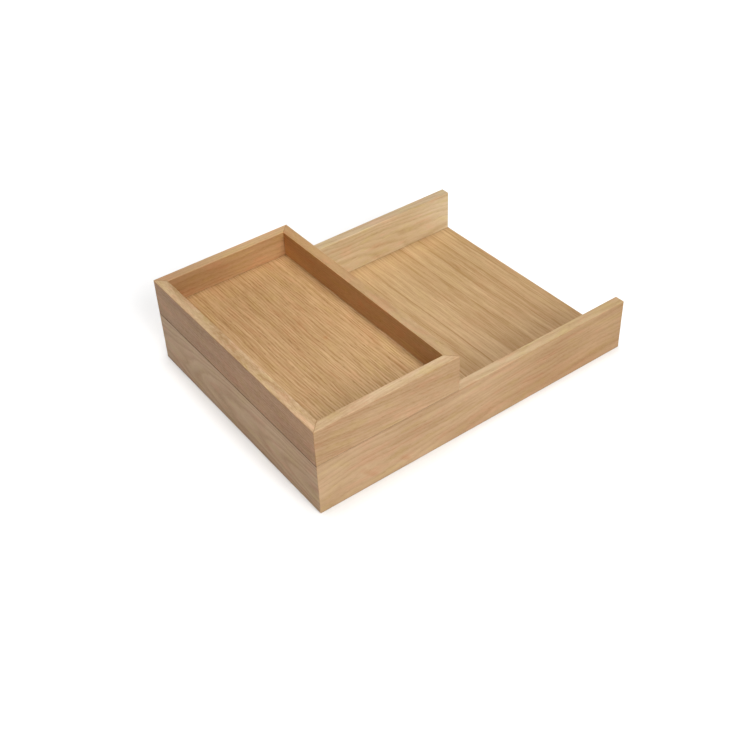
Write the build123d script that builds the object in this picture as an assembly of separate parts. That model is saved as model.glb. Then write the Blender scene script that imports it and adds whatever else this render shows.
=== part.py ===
from build123d import *
import os

# Two-tier oak drawer organizer insert, in millimetres.
#
# X runs along the lower tray, from its closed end (-X) to its open end (+X).
# Y runs across it: left is +Y, right is -Y. Z is up, and the base stands on Z = 0.
# The origin is the middle of the rectangle that the lower tray covers, at its base.

# ---- Driving dimensions ----
LOWER_LENGTH = 342.0      # along X
LOWER_HEIGHT = 53.0
UPPER_LENGTH = 146.0      # along X
UPPER_HEIGHT = 37.0
TRAY_WIDTH = 260.0        # along Y, the same for both trays
WALL = 10.0               # thickness of every wall
CORNER_EASE = 0.8         # sanded radius of the upright corners and the free wall ends
TOP_EASE = 0.6            # sanded radius of the top edges
BOTTOM_EASE = 0.6         # the same around the bottom of a tray, where it stands on something

FLOOR_THICKNESS = 6.0
LOWER_FLOOR_RECESS = 4.0  # from the lower walls' bottom edge to the floor's underside
UPPER_FLOOR_RECESS = 5.0  # the same in the upper tray
GROOVE_DEPTH = 4.0        # how far a floor reaches into the walls
GROOVE_PLAY = 0.2         # gap between a floor's top and the groove's upper side
LIPPING_WIDTH = 3.0       # oak strip along the lower floor's open edge

SPLINE_THICKNESS = 2.0    # along the mitre
SPLINE_WIDTH = 7.0        # across the mitre, half of it in each wall
SPLINE_STOP = 8.0         # wood left above and below a spline

BATTEN_WIDTH = 8.0
BATTEN_DROP = 5.0         # how far a batten hangs below the lower walls' top edge
BATTEN_PLAY = 0.5         # gap between a batten and the walls around it

# ---- Derived positions ----
CLOSED_END = -LOWER_LENGTH / 2
OPEN_END = LOWER_LENGTH / 2
UPPER_FRONT = CLOSED_END + UPPER_LENGTH
HALF_WIDTH = TRAY_WIDTH / 2
INNER_HALF_WIDTH = HALF_WIDTH - WALL
GROOVE_HALF_WIDTH = INNER_HALF_WIDTH + GROOVE_DEPTH
GROOVE_INSET = WALL - GROOVE_DEPTH
TOTAL_HEIGHT = LOWER_HEIGHT + UPPER_HEIGHT
UPPER_FLOOR_BOTTOM = LOWER_HEIGHT + UPPER_FLOOR_RECESS
CUT_MARGIN = 5.0          # how far a cutting block passes the wood it cuts


# ---- Shapes that repeat ----
def block(x0, x1, y0, y1, z0, z1):
    """A box between two corners."""
    middle = ((x0 + x1) / 2, (y0 + y1) / 2, (z0 + z1) / 2)
    return Pos(*middle) * Box(x1 - x0, y1 - y0, z1 - z0)


def centred_block(x0, x1, half_width, z0, z1):
    """A box that is as wide to the left as to the right."""
    return block(x0, x1, -half_width, half_width, z0, z1)


def eased_ring(x0, x1, z0, z1, front_open):
    """All walls of a tray in one, with sanded edges, before the mitres part them."""
    outside = centred_block(x0, x1, HALF_WIDTH, z0, z1)
    outside = fillet(outside.edges().filter_by(Axis.Z), CORNER_EASE)
    inner_front = x1 + CUT_MARGIN if front_open else x1 - WALL
    below = z0 - CUT_MARGIN
    above = z1 + CUT_MARGIN
    ring = outside - centred_block(x0 + WALL, inner_front, INNER_HALF_WIDTH, below, above)
    if front_open:
        free_ends = ring.edges().filter_by(Axis.Z).group_by(Axis.X)[-1]
        ring = fillet(free_ends, CORNER_EASE)
    ring = fillet(ring.edges().group_by(Axis.Z)[-1], TOP_EASE)
    return fillet(ring.edges().group_by(Axis.Z)[0], BOTTOM_EASE)


def prism(plan, z0, z1):
    """The upright prism over a polygon in plan, past the wood below and above."""
    outline = make_face(Polyline(*plan, close=True))
    height = z1 - z0 + 2 * CUT_MARGIN
    return Pos(0, 0, z0 - CUT_MARGIN) * extrude(outline, height, dir=(0, 0, 1))


def end_zone(x, inward, z0, z1):
    """What the mitres leave of a ring for the end wall at x; inward is +1 or -1."""
    outside = x - inward * CUT_MARGIN
    inside = x + inward * (WALL + CUT_MARGIN)
    wide = HALF_WIDTH + CUT_MARGIN
    narrow = INNER_HALF_WIDTH - CUT_MARGIN
    plan = [(outside, -wide), (outside, wide), (inside, narrow), (inside, -narrow)]
    return prism(plan, z0, z1)


def side_zone(x0, x1, side, front_open, z0, z1):
    """What the mitres leave of a ring for a side wall; side is +1 or -1."""
    wide = side * (HALF_WIDTH + CUT_MARGIN)
    narrow = side * (INNER_HALF_WIDTH - CUT_MARGIN)
    reach = WALL + CUT_MARGIN
    front = x1 + CUT_MARGIN
    inner_front = front if front_open else x1 - reach
    plan = [(x0 - CUT_MARGIN, wide), (front, wide), (inner_front, narrow), (x0 + reach, narrow)]
    return prism(plan, z0, z1)


def mitre_spline(x, inward, side, z0, z1):
    """The tongue in the middle of the mitre whose outer corner is at x on that side."""
    middle = (x + inward * WALL / 2, side * (HALF_WIDTH - WALL / 2), (z0 + z1) / 2)
    turn = -45 * inward * side
    height = z1 - z0 - 2 * SPLINE_STOP
    return Pos(*middle) * Rot(0, 0, turn) * Box(SPLINE_THICKNESS, SPLINE_WIDTH, height)


def guide_batten(side):
    """A strip under the upper floor that runs inside a lower side wall."""
    x0 = CLOSED_END + WALL + BATTEN_PLAY
    x1 = UPPER_FRONT - WALL - BATTEN_PLAY
    outer = side * (INNER_HALF_WIDTH - BATTEN_PLAY)
    inner = outer - side * BATTEN_WIDTH
    bottom = LOWER_HEIGHT - BATTEN_DROP
    strip = block(x0, x1, min(outer, inner), max(outer, inner), bottom, UPPER_FLOOR_BOTTOM)
    return fillet(strip.edges().group_by(Axis.Z)[0], BOTTOM_EASE)


SIDES = {"left": 1, "right": -1}
nodes = {}

# ---- Lower tray ----
lower_span = (0, LOWER_HEIGHT)
floor_top = LOWER_FLOOR_RECESS + FLOOR_THICKNESS
panel_front = OPEN_END - LIPPING_WIDTH
panel_back = CLOSED_END + GROOVE_INSET

nodes["lower_floor_panel"] = centred_block(
    panel_back, panel_front, GROOVE_HALF_WIDTH, LOWER_FLOOR_RECESS, floor_top)
lower_groove = centred_block(
    panel_back, panel_front, GROOVE_HALF_WIDTH, LOWER_FLOOR_RECESS, floor_top + GROOVE_PLAY)

lipping = centred_block(panel_front, OPEN_END, INNER_HALF_WIDTH, LOWER_FLOOR_RECESS, floor_top)
lipping_front = lipping.faces().sort_by(Axis.X)[-1]
nodes["lower_floor_lipping"] = fillet(lipping_front.edges().filter_by(Axis.Y), TOP_EASE)

lower_walls = eased_ring(CLOSED_END, OPEN_END, *lower_span, front_open=True) - lower_groove
for name, side in SIDES.items():
    spline = mitre_spline(CLOSED_END, 1, side, *lower_span)
    nodes[f"lower_mitre_spline_{name}"] = spline
    lower_walls = lower_walls - spline

nodes["lower_end_wall"] = lower_walls & end_zone(CLOSED_END, 1, *lower_span)
for name, side in SIDES.items():
    zone = side_zone(CLOSED_END, OPEN_END, side, True, *lower_span)
    nodes[f"lower_side_wall_{name}"] = lower_walls & zone

# ---- Upper tray ----
upper_span = (LOWER_HEIGHT, TOTAL_HEIGHT)
floor_top = UPPER_FLOOR_BOTTOM + FLOOR_THICKNESS
panel_front = UPPER_FRONT - GROOVE_INSET

nodes["upper_floor_panel"] = centred_block(
    panel_back, panel_front, GROOVE_HALF_WIDTH, UPPER_FLOOR_BOTTOM, floor_top)
upper_groove = centred_block(
    panel_back, panel_front, GROOVE_HALF_WIDTH, UPPER_FLOOR_BOTTOM, floor_top + GROOVE_PLAY)

upper_walls = eased_ring(CLOSED_END, UPPER_FRONT, *upper_span, front_open=False) - upper_groove
for end, x, inward in (("end", CLOSED_END, 1), ("inner", UPPER_FRONT, -1)):
    for name, side in SIDES.items():
        spline = mitre_spline(x, inward, side, *upper_span)
        nodes[f"upper_mitre_spline_{end}_{name}"] = spline
        upper_walls = upper_walls - spline

nodes["upper_end_wall"] = upper_walls & end_zone(CLOSED_END, 1, *upper_span)
nodes["upper_inner_wall"] = upper_walls & end_zone(UPPER_FRONT, -1, *upper_span)
for name, side in SIDES.items():
    zone = side_zone(CLOSED_END, UPPER_FRONT, side, False, *upper_span)
    nodes[f"upper_side_wall_{name}"] = upper_walls & zone
    nodes[f"guide_batten_{name}"] = guide_batten(side)

# ---- Files ----
os.makedirs("parts", exist_ok=True)
for name, solid in nodes.items():
    export_step(solid, f"parts/{name}.step")
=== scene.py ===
import math
from types import SimpleNamespace

import bpy
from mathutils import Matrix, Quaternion, Vector


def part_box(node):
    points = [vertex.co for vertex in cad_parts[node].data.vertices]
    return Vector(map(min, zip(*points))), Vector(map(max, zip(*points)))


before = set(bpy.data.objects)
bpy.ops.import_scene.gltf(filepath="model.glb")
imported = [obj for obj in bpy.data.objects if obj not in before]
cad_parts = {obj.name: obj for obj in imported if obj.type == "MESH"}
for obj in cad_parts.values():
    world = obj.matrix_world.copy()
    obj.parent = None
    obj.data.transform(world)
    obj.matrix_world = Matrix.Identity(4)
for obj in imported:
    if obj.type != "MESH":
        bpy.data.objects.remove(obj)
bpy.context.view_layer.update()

# ---- Camera ----
CAMERA_PLACE = Vector((-0.4919, -0.6697, 0.6771))
CAMERA_TARGET = Vector((-0.0585, -0.0062, 0.0450))
CAMERA_ROLL = math.radians(-3.82)
CAMERA_LENS = 53.86      # mm
SENSOR_WIDTH = 36.0      # mm
CAMERA_SHIFT = (0.044, -0.044)
CAMERA_REACH = (0.01, 50.0)


def make_camera():
    data = bpy.data.cameras.new("camera")
    data.lens = CAMERA_LENS
    data.sensor_width = SENSOR_WIDTH
    data.shift_x, data.shift_y = CAMERA_SHIFT
    data.clip_start, data.clip_end = CAMERA_REACH
    camera = bpy.data.objects.new("camera", data)
    bpy.context.scene.collection.objects.link(camera)
    aim = (CAMERA_TARGET - CAMERA_PLACE).to_track_quat("-Z", "Y")
    camera.location = CAMERA_PLACE
    camera.rotation_mode = "QUATERNION"
    camera.rotation_quaternion = aim @ Quaternion((0, 0, 1), CAMERA_ROLL)
    bpy.context.scene.camera = camera


# ---- Stage and light ----
FLOOR_RADIUS = 12.0
FLOOR_DROP = 0.0002      # keeps the floor just clear of the tray's underside
FLOOR_WHITE = 0.88
BACKDROP_RADIUS = 14.0

# Soft lights from far away: azimuth from +X towards +Y, elevation, and brightness, which is
# how bright a white card facing the light looks.
SOFT_LIGHTS = {
    "overhead": (0, 90, 0.84),
    "front": (-90, 30, 0.76),
    "back": (90, 18, 0.41),
}
LIGHT_SPREAD = math.radians(32)


def stage_material(name):
    material = bpy.data.materials.new(name)
    material.use_nodes = True
    return material, material.node_tree.nodes["Principled BSDF"].inputs


def make_floor():
    bpy.ops.mesh.primitive_circle_add(vertices=96, radius=FLOOR_RADIUS, fill_type="NGON")
    floor = bpy.context.object
    floor.name = "floor"
    floor.location.z = -FLOOR_DROP
    material, inputs = stage_material("floor_paper")
    inputs["Base Color"].default_value = (FLOOR_WHITE, FLOOR_WHITE, FLOOR_WHITE, 1.0)
    inputs["Roughness"].default_value = 0.9
    inputs["Specular IOR Level"].default_value = 0.1
    floor.data.materials.append(material)


def make_backdrop():
    """A plain white shell far behind everything, which casts no light or shadow."""
    bpy.ops.mesh.primitive_uv_sphere_add(segments=48, ring_count=24, radius=BACKDROP_RADIUS)
    backdrop = bpy.context.object
    backdrop.name = "backdrop"
    material, inputs = stage_material("backdrop_white")
    inputs["Base Color"].default_value = (0.0, 0.0, 0.0, 1.0)
    inputs["Emission Color"].default_value = (1.0, 1.0, 1.0, 1.0)
    inputs["Emission Strength"].default_value = 1.0
    backdrop.data.materials.append(material)
    backdrop.visible_diffuse = False
    backdrop.visible_glossy = False
    backdrop.visible_shadow = False


def make_light(name, azimuth, elevation, brightness):
    data = bpy.data.lights.new(name, "SUN")
    data.angle = LIGHT_SPREAD
    data.energy = math.pi * brightness
    light = bpy.data.objects.new(name, data)
    bpy.context.scene.collection.objects.link(light)
    turn, rise = math.radians(azimuth), math.radians(elevation)
    flat = math.cos(rise)
    towards = Vector((math.cos(turn) * flat, math.sin(turn) * flat, math.sin(rise)))
    light.rotation_mode = "QUATERNION"
    light.rotation_quaternion = (-towards).to_track_quat("-Z", "Y")


def make_world():
    world = bpy.data.worlds.new("studio")
    world.use_nodes = True
    background = world.node_tree.nodes["Background"]
    background.inputs["Color"].default_value = (1.0, 1.0, 1.0, 1.0)
    background.inputs["Strength"].default_value = 0.0
    bpy.context.scene.world = world


# ---- Node graphs ----
class Graph:
    """Builds the node tree of one material. A value is a socket, a number or a tuple."""

    def __init__(self, name):
        self.material = bpy.data.materials.new(name)
        self.material.use_nodes = True
        self.tree = self.material.node_tree
        self.shader = self.tree.nodes["Principled BSDF"]

    def put(self, value, socket):
        if isinstance(value, bpy.types.NodeSocket):
            self.tree.links.new(value, socket)
        elif socket.type == "RGBA" and len(value) == 3:
            socket.default_value = (*value, 1.0)
        else:
            socket.default_value = value

    def node(self, kind, **settings):
        node = self.tree.nodes.new(kind)
        for key, value in settings.items():
            setattr(node, key, value)
        return node

    def math(self, operation, *values):
        node = self.node("ShaderNodeMath", operation=operation)
        for value, socket in zip(values, node.inputs):
            self.put(value, socket)
        return node.outputs[0]

    def vector_math(self, operation, *values):
        node = self.node("ShaderNodeVectorMath", operation=operation)
        for value, socket in zip(values, node.inputs):
            self.put(value, socket)
        return node.outputs["Value" if operation == "LENGTH" else "Vector"]

    def add(self, *values):
        total = values[0]
        for value in values[1:]:
            total = self.math("ADD", total, value)
        return total

    def times(self, *values):
        total = values[0]
        for value in values[1:]:
            total = self.math("MULTIPLY", total, value)
        return total

    def split(self, vector):
        node = self.node("ShaderNodeSeparateXYZ")
        self.put(vector, node.inputs[0])
        return list(node.outputs)

    def join(self, x, y, z):
        node = self.node("ShaderNodeCombineXYZ")
        for value, socket in zip((x, y, z), node.inputs):
            self.put(value, socket)
        return node.outputs[0]

    def noise(self, place, cell, detail=2.0, roughness=0.5, output="Fac"):
        """Noise whose cells have this size: along the grain, across the board, through it."""
        stretch = tuple(1.0 / size for size in cell)
        node = self.node("ShaderNodeTexNoise")
        self.put(self.vector_math("MULTIPLY", place, stretch), node.inputs["Vector"])
        node.inputs["Scale"].default_value = 1.0
        node.inputs["Detail"].default_value = detail
        node.inputs["Roughness"].default_value = roughness
        return node.outputs[output]

    def swing(self, place, cell, weight, detail=2.0, roughness=0.5):
        """Noise about zero, times the weight."""
        noise = self.noise(place, cell, detail, roughness)
        return self.math("MULTIPLY_ADD", noise, 2 * weight, -weight)

    def waves(self, place, cell, amount):
        """How far waves of this size move a place across and through, never along."""
        shift = self.noise(place, cell, output="Color")
        shift = self.vector_math("SUBTRACT", shift, (0.5, 0.5, 0.5))
        return self.vector_math("MULTIPLY", shift, (0.0, 2 * amount, 2 * amount))

    def move(self, place, *shifts):
        for shift in shifts:
            place = self.vector_math("ADD", place, shift)
        return place

    def smooth(self, value, low, high, to_low=0.0, to_high=1.0):
        """Takes low..high to to_low..to_high with a soft start and stop."""
        node = self.node("ShaderNodeMapRange", interpolation_type="SMOOTHSTEP")
        for number, socket in zip((value, low, high, to_low, to_high), node.inputs):
            self.put(number, socket)
        return node.outputs["Result"]

    def ramp(self, value, stops):
        node = self.node("ShaderNodeValToRGB")
        elements = node.color_ramp.elements
        while len(elements) < len(stops):
            elements.new(0.5)
        for element, (position, colour) in zip(elements, stops):
            element.position = position
            element.color = (*colour, 1.0)
        self.put(value, node.inputs["Fac"])
        return node.outputs["Color"]

    def mix(self, factor, a, b, blend="MIX"):
        node = self.node("ShaderNodeMix", data_type="RGBA", blend_type=blend)
        self.put(factor, node.inputs[0])
        self.put(a, node.inputs[6])
        self.put(b, node.inputs[7])
        return node.outputs[2]

    def tint(self, factor, colour, by):
        return self.mix(factor, colour, by, "MULTIPLY")


# ---- Oak ----
# Lengths inside the oak materials are in millimetres. Each board has its own axes: along
# the grain, across the board, and through its thickness, with (0, 0, 0) at its middle.
MM = 1000.0
GRAIN_AXES = {"end_wall": "YZX", "side_wall": "XZY", "floor": "YXZ", "batten": "XYZ"}

# Each board reads the noise at a place of its own, its seed times this step away.
SEED_STEP = (137.0, 71.0, 39.0)

# The grain drifts slowly across a board and wavers a little along its lines.
DRIFT_CELL = (130, 40, 40)
WAVER_CELL = (16, 9, 9)
WAVER = 0.7

# How the porous wood comes and goes within one year's ring, and roughly its mean.
RING_PROFILE = ((0.0, 0.6), (0.10, 1.0), (0.50, 0.25), (0.85, 0.0), (1.0, 0.6))
RING_MEAN = 0.4
RING_UNEVENNESS = 1.6

# Veneer has thin lines between its bands, which come and go along the grain.
BAND_LINE_EDGE = (1.0, 0.1)
BAND_FADE_CELL = (90, 9, 9)
BAND_FADE = (0.35, 0.65)

# How the colour of the wood changes from its palest grain to its darkest.
GRAIN_COLOURS = (
    (0.0, (1.22, 1.29, 1.42)),
    (0.5, (1.00, 1.00, 1.00)),
    (1.0, (0.78, 0.69, 0.56)),
)
PLAIN = (1.0, 1.0, 1.0)

# How squarely a face looks along an axis: from where its tint starts to where it is full.
FACING = (0.6, 0.9)

# Patches of warmer and of more golden wood: noise from nothing to full strength.
HUE_CELL = (26, 8, 8)
PINK_TINT = (1.05, 0.95, 0.96)
PINK_NOISE = (0.50, 0.68)
GOLD_TINT = (0.99, 1.02, 0.88)
GOLD_NOISE = (0.50, 0.32)

# Marks: how ragged they are, and where they start and are full, in half sizes of the mark.
MARK_TINT = (0.94, 0.83, 0.75)
RAGGED_CELL = (5, 3, 3)
RAGGED = 1.5
MARK_EDGE = (1.2, 0.2)

# Pores: the dense wood has this share of the porous wood's.
PORE_TINT = (0.52, 0.42, 0.30)
PORE_NOISE = (0.56, 0.70)
DENSE_WOOD_PORES = 0.25

# A surface that looks this little along every axis is a rounded edge, worn in places.
WORN_TINT = (1.12, 1.12, 1.14)
WORN_NOISE = (0.25, 0.60)
WEAR_CELL = (12, 12, 12)
ROUNDED = (0.99, 0.88)

# Distances from the mitre, and from the board's edge for the painted shadow where the trays meet,
# where the dark line starts and is full.
GLUE_TINT = (0.68, 0.59, 0.49)
GLUE_REACH = (0.38, 0.05)
# The painted shade along the edge where the two trays meet.
SEAM_SHADOW_TINT = (0.35, 0.27, 0.20)
SEAM_SHADOW_REACH = (0.9, 0.4)

ROUGHNESS = 0.44
FIBRE_ROUGHNESS = 0.12
PORE_ROUGHNESS = 0.15
FIBRE_HEIGHT = 0.35           # as a share of a pore's depth
SPECULAR = 0.3
BUMP_STRENGTH = 0.25
BUMP_DISTANCE = 0.0001        # metres


def board_place(graph, node, axes):
    """Where a point is on its board, in millimetres: along, across, through."""
    low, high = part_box(node)
    place = graph.node("ShaderNodeTexCoord").outputs["Object"]
    place = graph.vector_math("SUBTRACT", place, tuple((low + high) / 2))
    place = graph.vector_math("MULTIPLY", place, (MM, MM, MM))
    parts = dict(zip("XYZ", graph.split(place)))
    return graph.join(*(parts[axis] for axis in axes))


def board_size(node, axes):
    """The board's size in millimetres: along, across, through."""
    low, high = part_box(node)
    size = dict(zip("XYZ", (high - low) * MM))
    return [size[axis] for axis in axes]


def face_directions(graph):
    """How far a surface faces along each axis of the object."""
    return dict(zip("XYZ", graph.split(graph.node("ShaderNodeTexCoord").outputs["Normal"])))


def growth_rings(graph, place, board):
    """1 in the porous wood that starts each year's ring, 0 in the dense wood that ends it.

    Where the board leans against the trunk (tilt), the rings close into arches on its face."""
    g, w, t = graph.split(place)
    leaning = graph.math("MULTIPLY_ADD", g, board.tilt, t)
    pith_w, pith_t = board.pith
    from_pith = graph.join(0.0, graph.add(w, -pith_w), graph.add(leaning, -pith_t))
    radius = graph.math("DIVIDE", graph.vector_math("LENGTH", from_pith), board.ring)
    by_ring = graph.join(radius, float(board.seed), 0.0)
    uneven = graph.swing(by_ring, (5, 1, 1), RING_UNEVENNESS)
    phase = graph.math("FRACT", graph.add(radius, uneven))
    return graph.ramp(phase, [(position, (value,) * 3) for position, value in RING_PROFILE])


def veneer_bands(graph, place, band, seed):
    """Long bands of uneven width: how dark each one is, and the thin lines between them."""
    w = graph.math("DIVIDE", graph.split(place)[1], band)
    w = graph.add(w, float(seed))
    shade = graph.node("ShaderNodeTexVoronoi", voronoi_dimensions="1D", feature="SMOOTH_F1")
    shade.inputs["Smoothness"].default_value = 0.3
    edge = graph.node("ShaderNodeTexVoronoi", voronoi_dimensions="1D", feature="DISTANCE_TO_EDGE")
    for node in (shade, edge):
        graph.put(w, node.inputs["W"])
        node.inputs["Scale"].default_value = 1.0
    darkness = graph.add(graph.split(shade.outputs["Color"])[0], -0.5)
    from_edge = graph.times(edge.outputs["Distance"], float(band))
    line = graph.smooth(from_edge, *BAND_LINE_EDGE)
    fading = graph.smooth(graph.noise(place, BAND_FADE_CELL), *BAND_FADE)
    return darkness, graph.times(line, fading)


def grain_darkness(graph, board, straight, bent, ring_place, earlywood, fibre):
    """How dark the grain is: 0 at its palest, 1 at its darkest, and 0.5 on the whole."""
    dark = graph.add(
        0.5,
        graph.math("MULTIPLY_ADD", earlywood, 2 * board.rings, -2 * RING_MEAN * board.rings),
        graph.swing(bent, board.streak_cell, board.streaks, detail=3, roughness=0.7),
        graph.swing(straight, board.cloud_cell, board.clouds, detail=3, roughness=0.5),
        graph.math("MULTIPLY_ADD", fibre, 2 * board.fibres, -board.fibres))
    if board.bands:
        band, contrast, line_contrast = board.bands
        darkness, line = veneer_bands(graph, ring_place, band, board.seed)
        dark = graph.add(dark, graph.times(darkness, contrast), graph.times(line, line_contrast))
    return dark


def face_colour_and_painted_light(graph, board, place, size, facing, upward):
    """The board's colour, which changes from end to end and from face to face: partly the wood's
    own tone, partly painted light and shade, with faces made lighter or darker as light falls on
    them.
    """
    g, w, _ = graph.split(place)
    length, width, _ = size
    # Painted light and shade from end to end: the two tones were fitted to the shading seen along
    # the board as well as to the wood's own tone.
    colour = graph.mix(graph.smooth(g, -0.45 * length, 0.45 * length), *board.tones)
    # Painted light across the board: the far side across is made lighter, which on the upper floor
    # lifts the shade beside the inner wall.
    colour = graph.tint(graph.smooth(w, -0.5 * width, 0.5 * width), colour, board.side)
    if board.kind != "floor":
        through_axis = GRAIN_AXES[board.kind][2]
        backward = graph.smooth(facing[through_axis], *FACING)
        # Painted light and shade: the face that looks along the third axis becomes a lighter or
        # darker copy of the same wood, as if lit differently.
        colour = graph.tint(backward, colour, board.back)
        # Painted light and shade on top: most tops are made paler and bluer, a painted sheen; a
        # few are made darker than the board's other faces.
        colour = graph.tint(upward, colour, board.top)
    return colour


def flush(graph, board, straight, colour):
    """Warmer and more golden patches."""
    hue = graph.noise(straight, HUE_CELL, detail=3, roughness=0.6)
    pink = graph.smooth(hue, *PINK_NOISE, 0.0, board.flush)
    gold = graph.smooth(hue, *GOLD_NOISE, 0.0, board.flush)
    return graph.tint(gold, graph.tint(pink, colour, PINK_TINT), GOLD_TINT)


def patch(graph, place, along, across, length, width, slant=0.0, strength=1.0):
    """A soft ragged patch on a board's face, 1 in its middle."""
    ragged = graph.move(place, graph.waves(place, RAGGED_CELL, RAGGED))
    g, w, _ = graph.split(graph.vector_math("SUBTRACT", ragged, (along, across, 0.0)))
    leaning = graph.math("MULTIPLY_ADD", g, -slant, w)
    offset = graph.join(graph.times(g, 2.0 / length), graph.times(leaning, 2.0 / width), 0.0)
    return graph.smooth(graph.vector_math("LENGTH", offset), *MARK_EDGE, 0.0, strength)


def open_pores(graph, board, bent, earlywood):
    """Short dashes, most of them in the porous wood of each ring."""
    pore = graph.smooth(graph.noise(bent, board.pore_cell, detail=1), *PORE_NOISE)
    share = graph.math("MULTIPLY_ADD", earlywood, 1 - DENSE_WOOD_PORES, DENSE_WOOD_PORES)
    return graph.times(pore, share)


def wear(graph, place, facing, colour):
    """The rounded edges, where the surface faces between the axes, are worn a little paler."""
    flat = [graph.math("ABSOLUTE", part) for part in facing.values()]
    flat = graph.math("MAXIMUM", graph.math("MAXIMUM", flat[0], flat[1]), flat[2])
    worn = graph.smooth(graph.noise(place, WEAR_CELL), *WORN_NOISE)
    worn = graph.times(worn, graph.smooth(flat, *ROUNDED))
    return graph.tint(worn, colour, WORN_TINT)


def glue_lines(graph, board, place, size, upward, colour):
    """The mitres' glue lines, which show on top."""
    g, _, t = graph.split(place)
    length, _, depth = size
    outer, ends = board.mitres
    for end in ends:
        mitre = graph.add(graph.times(g, -end), graph.times(t, outer), (length - depth) / 2)
        line = graph.times(upward, graph.smooth(mitre, *GLUE_REACH))
        colour = graph.tint(line, colour, GLUE_TINT)
    return colour


def paint_seam_shadow(graph, board, place, size, upward, colour):
    """Painted shade: the edge where the trays meet is darkened, off the top face, as the shadow in
    the gap between them.
    """
    w = graph.split(place)[1]
    width = size[1]
    from_edge = graph.add(graph.times(w, -board.rubbed), width / 2)
    dark = graph.smooth(from_edge, *SEAM_SHADOW_REACH)
    dark = graph.times(dark, graph.math("SUBTRACT", 1.0, upward))
    return graph.tint(dark, colour, SEAM_SHADOW_TINT)


def surface(graph, colour, fibre, pore):
    """Pores are rougher than the wood around them and sink into it; fibres stand proud."""
    inputs = graph.shader.inputs
    graph.put(colour, inputs["Base Color"])
    rough = graph.add(
        ROUGHNESS, graph.times(fibre, FIBRE_ROUGHNESS), graph.times(pore, PORE_ROUGHNESS))
    graph.put(rough, inputs["Roughness"])
    inputs["Specular IOR Level"].default_value = SPECULAR
    bump = graph.node("ShaderNodeBump")
    bump.inputs["Strength"].default_value = BUMP_STRENGTH
    bump.inputs["Distance"].default_value = BUMP_DISTANCE
    height = graph.math("MULTIPLY_ADD", pore, -1.0, graph.times(fibre, FIBRE_HEIGHT))
    graph.put(height, bump.inputs["Height"])
    graph.put(bump.outputs["Normal"], inputs["Normal"])


def oak(node, board):
    graph = Graph("oak_" + node)
    axes = GRAIN_AXES[board.kind]
    place = board_place(graph, node, axes)
    size = board_size(node, axes)
    facing = face_directions(graph)
    upward = graph.smooth(facing["Z"], *FACING)

    # Rings are where the board lay in the log. Noise is read at a place of the board's own.
    g, w, t = graph.split(place)
    askew = graph.join(g, graph.math("MULTIPLY_ADD", g, -board.slant, w), t)
    straight = graph.move(askew, tuple(board.seed * step for step in SEED_STEP))
    drift = graph.waves(straight, DRIFT_CELL, board.wander)
    waver = graph.waves(straight, WAVER_CELL, WAVER)
    bent = graph.move(straight, drift, waver)
    ring_place = graph.move(askew, drift, waver)

    earlywood = growth_rings(graph, ring_place, board)
    fibre = graph.noise(bent, board.fibre_cell)
    dark = grain_darkness(graph, board, straight, bent, ring_place, earlywood, fibre)
    pore = open_pores(graph, board, bent, earlywood)

    colour = face_colour_and_painted_light(graph, board, place, size, facing, upward)
    colour = graph.tint(1.0, colour, graph.ramp(dark, GRAIN_COLOURS))
    colour = flush(graph, board, straight, colour)
    for mark in board.marks:
        colour = graph.tint(patch(graph, place, *mark), colour, MARK_TINT)
    colour = graph.tint(graph.times(pore, board.pores), colour, PORE_TINT)
    colour = wear(graph, place, facing, colour)
    if board.mitres:
        colour = glue_lines(graph, board, place, size, upward, colour)
    # Painted shade along the edge where the trays meet.
    if board.rubbed:
        colour = paint_seam_shadow(graph, board, place, size, upward, colour)
    surface(graph, colour, fibre, pore)

    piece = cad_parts[node]
    piece.data.materials.clear()
    piece.data.materials.append(graph.material)


# ---- Boards ----
# What a board has unless its own settings below say otherwise.
# tones: the colour at the two ends of its grain, partly the wood's own tone and partly painted
# light and shade. side, back and top multiply it towards the far side across, on the face that
# looks along the third grain axis, and on top: painted light and shade, and on most tops a
# painted sheen.
# pith and ring: where the heart of the log was, and how wide its rings are.
# rings, streaks, clouds, fibres and pores: how strong each part of the figure is.
# bands: width, contrast and line contrast of veneer. marks: reddish patches and knots, as
# along, across, length, width, slant, strength. mitres: which side is the outer one, and
# which ends are mitred. The last picks the edge painted dark as the shadow where the trays meet.
USUAL = dict(
    side=PLAIN, back=PLAIN, top=PLAIN, pith=(60, 60), ring=3.0, tilt=0.0, slant=0.0,
    wander=4.0, rings=0.20, bands=None, streaks=0.34, streak_cell=(60, 6, 6), clouds=0.50,
    cloud_cell=(80, 16, 16), fibres=0.35, fibre_cell=(5, 0.8, 0.8), flush=0.9, pores=0.35,
    pore_cell=(4.5, 0.36, 0.36), marks=(), mitres=None, rubbed=0)
BOTH_ENDS = (-1, 1)
CLOSED_END = (-1,)
BOTTOM, TOP = -1, 1
BATTEN_TONES = ((0.40, 0.25, 0.13), (0.40, 0.25, 0.13))
SPLINE_TONES = ((0.47, 0.31, 0.17), (0.47, 0.31, 0.17))
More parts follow.
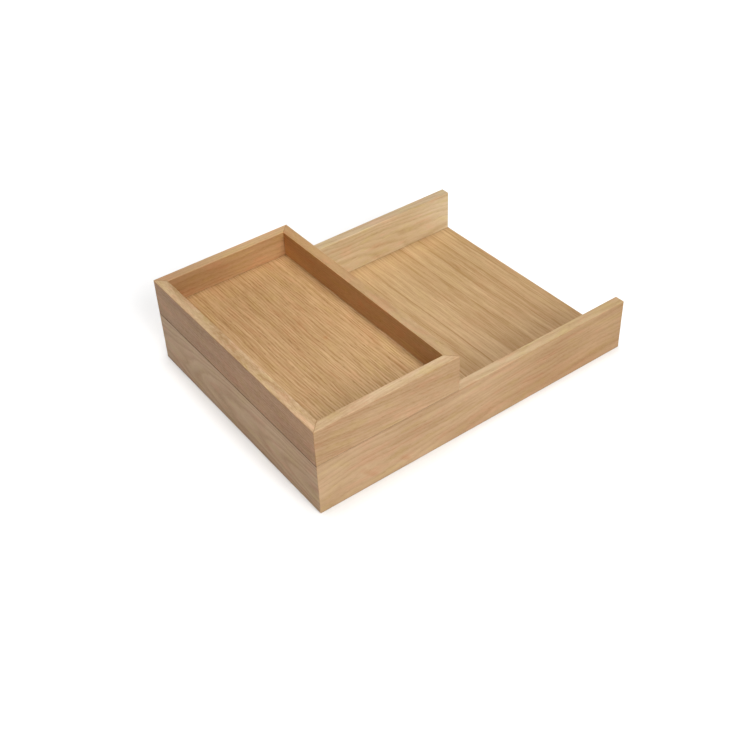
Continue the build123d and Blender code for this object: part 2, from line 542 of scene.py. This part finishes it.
# The tones and the side, back and top tints below were fitted to the shading on each face, so they
# carry painted light and shade besides the wood's own colour.
BOARDS = {
    "lower_end_wall": dict(
        kind="end_wall", seed=1, tones=((0.430, 0.268, 0.137), (0.400, 0.247, 0.123)),
        top=(1.12, 1.24, 1.40),
        pith=(-4, -26), ring=3.6, tilt=0.08, wander=7, rings=0.20, streaks=0.26, clouds=0.42,
        fibres=0.22, mitres=(-1, BOTH_ENDS), rubbed=TOP),
    "upper_end_wall": dict(
        kind="end_wall", seed=2, tones=((0.365, 0.188, 0.075), (0.312, 0.160, 0.060)),
        top=(1.23, 1.58, 2.14), pith=(-90, 20), ring=2.2, rings=0.22, streaks=0.50, clouds=0.70,
        fibres=0.75, flush=1.0, mitres=(-1, BOTH_ENDS), rubbed=BOTTOM),
    "upper_inner_wall": dict(
        kind="end_wall", seed=3, tones=((0.660, 0.385, 0.175), (0.655, 0.345, 0.135)),
        back=(0.62, 0.75, 0.90), top=(0.62, 0.69, 0.78), pith=(-80, 40), ring=2.4,
        rings=0.10, streaks=0.28, clouds=0.40, mitres=(1, BOTH_ENDS), rubbed=BOTTOM),
    "lower_side_wall_left": dict(
        kind="side_wall", seed=4, tones=((0.568, 0.410, 0.225), (0.580, 0.430, 0.255)),
        back=(0.76, 0.70, 0.68), top=(0.75, 0.73, 0.73), pith=(-14, -45), ring=3.4, tilt=0.04,
        wander=7, rings=0.14, streaks=0.40, fibres=0.20, mitres=(1, CLOSED_END)),
    "lower_side_wall_right": dict(
        kind="side_wall", seed=5, tones=((0.425, 0.275, 0.147), (0.378, 0.228, 0.106)),
        top=(1.20, 1.38, 1.62), pith=(-40, 60), ring=3.0, tilt=0.03, wander=6,
        rings=0.12, streaks=0.26, clouds=0.60, fibres=0.26,
        marks=((-121, -11, 22, 9, -0.8, 0.8), (-83, -17, 14, 8, -0.6), (0, -14, 60, 16, 0.1, 0.4),
               (108, -15, 110, 18, 0.0, 0.5)), mitres=(-1, CLOSED_END)),
    "upper_side_wall_left": dict(
        kind="side_wall", seed=6, tones=((0.365, 0.196, 0.084), (0.485, 0.281, 0.127)),
        back=(1.00, 1.12, 1.30), top=(0.92, 1.00, 1.07), pith=(50, 70), ring=2.8,
        rings=0.12, streaks=0.28, mitres=(1, BOTH_ENDS), rubbed=BOTTOM),
    "upper_side_wall_right": dict(
        kind="side_wall", seed=7, tones=((0.400, 0.248, 0.125), (0.412, 0.256, 0.128)),
        top=(1.20, 1.33, 1.52), pith=(70, -60), ring=3.0, slant=-0.1, rings=0.10, clouds=0.75,
        mitres=(-1, BOTH_ENDS), rubbed=BOTTOM),
    "upper_floor_panel": dict(
        kind="floor", seed=8, tones=((0.404, 0.249, 0.116), (0.372, 0.218, 0.095)),
        side=(1.10, 1.12, 1.13), pith=(-190, -60), ring=2.7, wander=3, rings=0.26,
        streaks=0.55, streak_cell=(260, 5, 5), clouds=0.26, fibres=0.85, fibre_cell=(22, 1.1, 1.1),
        flush=0.6, pores=0.6, pore_cell=(8, 0.6, 0.6),
        marks=((-12, 19, 16, 9, 0.0, 0.4), (-12, 19, 7, 5))),
    "lower_floor_panel": dict(
        kind="floor", seed=9, tones=((0.422, 0.270, 0.137), (0.454, 0.297, 0.144)),
        pith=(-400, -120), ring=5.0, wander=3, rings=0.08, bands=(20, 0.32, 0.75), streaks=0.50,
        streak_cell=(320, 6, 6), clouds=0.10, fibres=0.75, fibre_cell=(36, 1, 1), flush=0.35),
    "lower_floor_lipping": dict(
        kind="floor", seed=10, tones=((0.402, 0.243, 0.115), (0.432, 0.275, 0.130)),
        pith=(-60, -20), ring=2.6),
    "guide_batten_left": dict(
        kind="batten", seed=11, tones=BATTEN_TONES, pith=(-60, 20), ring=2.4),
    "guide_batten_right": dict(
        kind="batten", seed=12, tones=BATTEN_TONES, pith=(50, 20), ring=2.4),
}
SPLINE_SEED = 20
SPLINES = sorted(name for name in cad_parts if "mitre_spline" in name)
for number, name in enumerate(SPLINES):
    BOARDS[name] = dict(
        kind="batten", seed=SPLINE_SEED + number, tones=SPLINE_TONES, pith=(-30, 20), ring=2.0)

# ---- Scene ----
make_camera()
make_floor()
make_backdrop()
make_world()
for name, settings in SOFT_LIGHTS.items():
    make_light(name, *settings)
for name, settings in BOARDS.items():
    oak(name, SimpleNamespace(**{**USUAL, **settings}))
bpy.context.scene.view_settings.view_transform = "Standard"
